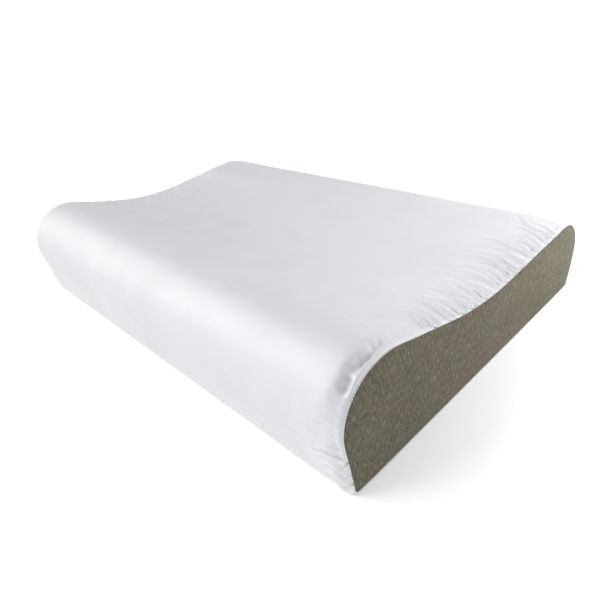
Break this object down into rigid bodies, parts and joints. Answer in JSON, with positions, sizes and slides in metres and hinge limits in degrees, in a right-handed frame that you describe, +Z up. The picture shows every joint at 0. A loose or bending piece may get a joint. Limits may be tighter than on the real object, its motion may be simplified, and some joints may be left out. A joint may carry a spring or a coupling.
{
  "type": "contoured bed pillow",
  "caption": "Contoured foam bed pillow with a high and a low roll, a hollow for the head, a liner and a zipped cover with contrasting ends.",
  "frame": {"origin": "middle of the footprint, on the surface that the pillow lies on", "axes": "+X along the length, +Y from the high front roll to the low back roll, +Z up"},
  "size_m": [0.6, 0.4, 0.12],
  "materials": {
    "foam": "open-cell viscoelastic foam, cream, matt",
    "liner": "thin white jersey knit",
    "cover_white": "cool white smooth woven cloth with a soft sheen",
    "cover_base": "taupe-grey melange knit",
    "cover_ends": "taupe-grey melange knit with fine upright streaks",
    "thread": "white polyester sewing thread",
    "zip_tape": "white woven polyester tape",
    "zip_coil": "white nylon filament",
    "zip_metal": "white-lacquered zinc casting",
    "label": "white satin ribbon, blank"
  },
  "bodies": {
    "pillow": {"foam_core": "foam", "liner_wrap": "liner", "liner_end_left": "liner", "liner_end_right": "liner", "liner_seam_thread_left": "thread", "liner_seam_thread_right": "thread", "liner_closing_thread": "thread", "cover_top_panel": "cover_white", "cover_base_panel": "cover_base", "cover_end_left": "cover_ends", "cover_end_right": "cover_ends", "end_seam_thread_left": "thread", "end_seam_thread_right": "thread", "front_seam_thread": "thread", "back_seam_thread": "thread", "zip_tape_upper": "zip_tape", "zip_tape_lower": "zip_tape", "zip_coil_upper": "zip_coil", "zip_coil_lower": "zip_coil", "zip_topstitch_upper": "thread", "zip_topstitch_lower": "thread", "zip_bar_tack_left": "thread", "zip_bar_tack_right": "thread", "care_label": "label"},
    "zip_slider": {"zip_slider": "zip_metal"},
    "zip_pull": {"zip_pull": "zip_metal"}
  },
  "joints": [
    {"name": "zip_slide", "type": "slide", "parent": "pillow", "child": "zip_slider", "axis": [1, 0, 0], "range_m": [0, 0.517]},
    {"name": "zip_pull_hinge", "type": "hinge", "parent": "zip_slider", "child": "zip_pull", "pos_m": [-0.2587, 0.19698, 0.02003], "axis": [0, 0.2593, 0.9658], "range_deg": [0, 180]}
  ]
}
